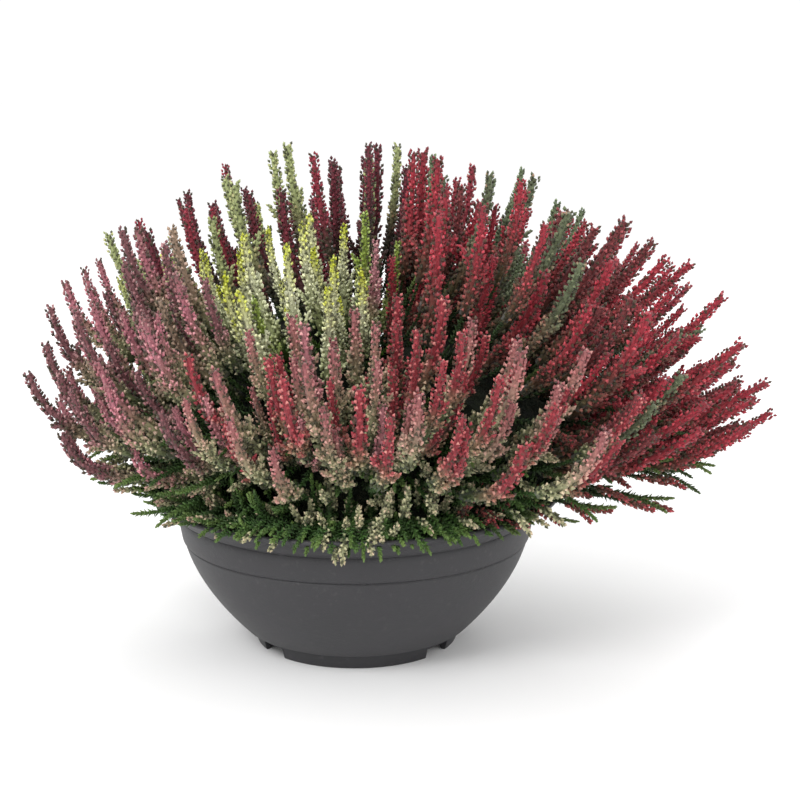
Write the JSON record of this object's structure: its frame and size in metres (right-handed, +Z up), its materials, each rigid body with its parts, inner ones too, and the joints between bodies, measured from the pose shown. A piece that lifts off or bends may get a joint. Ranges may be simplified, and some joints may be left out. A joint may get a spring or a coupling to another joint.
{
  "type": "potted heather",
  "caption": "Low round planting bowl densely filled with bud-flowering heathers, their slim spikes in pink, red, lime and green fanning out past the rim.",
  "frame": {"origin": "on the bowl's axis, on the plane that its foot and standing pad rest on", "axes": "+Z up, -Y towards the front of the picture, +X to its right, along the wider spread of the plants"},
  "size_m": [0.5008, 0.3892, 0.3433],
  "materials": {
    "grey_plastic": "matte",
    "dark_soil": "rough",
    "heather_leaf": "matte",
    "pink_buds": "matte",
    "blush_buds": "matte",
    "lime_buds": "matte",
    "maroon_buds": "matte",
    "pale_buds": "matte",
    "crimson_buds": "matte",
    "grey_buds": "matte",
    "cream_buds": "matte"
  },
  "bodies": {
    "root": {"blush_greens": "heather_leaf", "blush_spray_01": "blush_buds", "blush_spray_02": "blush_buds", "blush_spray_03": "blush_buds", "blush_spray_04": "blush_buds", "cream_greens": "heather_leaf", "cream_spray_01": "cream_buds", "cream_spray_02": "cream_buds", "cream_spray_03": "cream_buds", "cream_spray_04": "cream_buds", "crimson_greens": "heather_leaf", "crimson_spray_01": "crimson_buds", "crimson_spray_02": "crimson_buds", "crimson_spray_03": "crimson_buds", "crimson_spray_04": "crimson_buds", "crimson_spray_05": "crimson_buds", "crimson_spray_06": "crimson_buds", "crimson_spray_07": "crimson_buds", "crimson_spray_08": "crimson_buds", "crimson_spray_09": "crimson_buds", "crimson_spray_10": "crimson_buds", "crimson_spray_11": "crimson_buds", "grey_greens": "heather_leaf", "grey_spray_01": "grey_buds", "grey_spray_02": "grey_buds", "grey_spray_03": "grey_buds", "grey_spray_04": "grey_buds", "grey_spray_05": "grey_buds", "grey_spray_06": "grey_buds", "grey_spray_07": "grey_buds", "grey_spray_08": "grey_buds", "grey_spray_09": "grey_buds", "lime_greens": "heather_leaf", "lime_spray_01": "lime_buds", "lime_spray_02": "lime_buds", "lime_spray_03": "lime_buds", "lime_spray_04": "lime_buds", "maroon_greens": "heather_leaf", "maroon_spray_01": "maroon_buds", "maroon_spray_02": "maroon_buds", "maroon_spray_03": "maroon_buds", "maroon_spray_04": "maroon_buds", "maroon_spray_05": "maroon_buds", "pale_greens": "heather_leaf", "pale_spray_01": "pale_buds", "pale_spray_02": "pale_buds", "pale_spray_03": "pale_buds", "pale_spray_04": "pale_buds", "pale_spray_05": "pale_buds", "pink_greens": "heather_leaf", "pink_spray_01": "pink_buds", "pink_spray_02": "pink_buds", "pink_spray_03": "pink_buds", "pink_spray_04": "pink_buds", "pink_spray_05": "pink_buds", "pink_spray_06": "pink_buds", "pink_spray_07": "pink_buds", "pot": "grey_plastic", "soil": "dark_soil"}
  },
  "joints": []
}
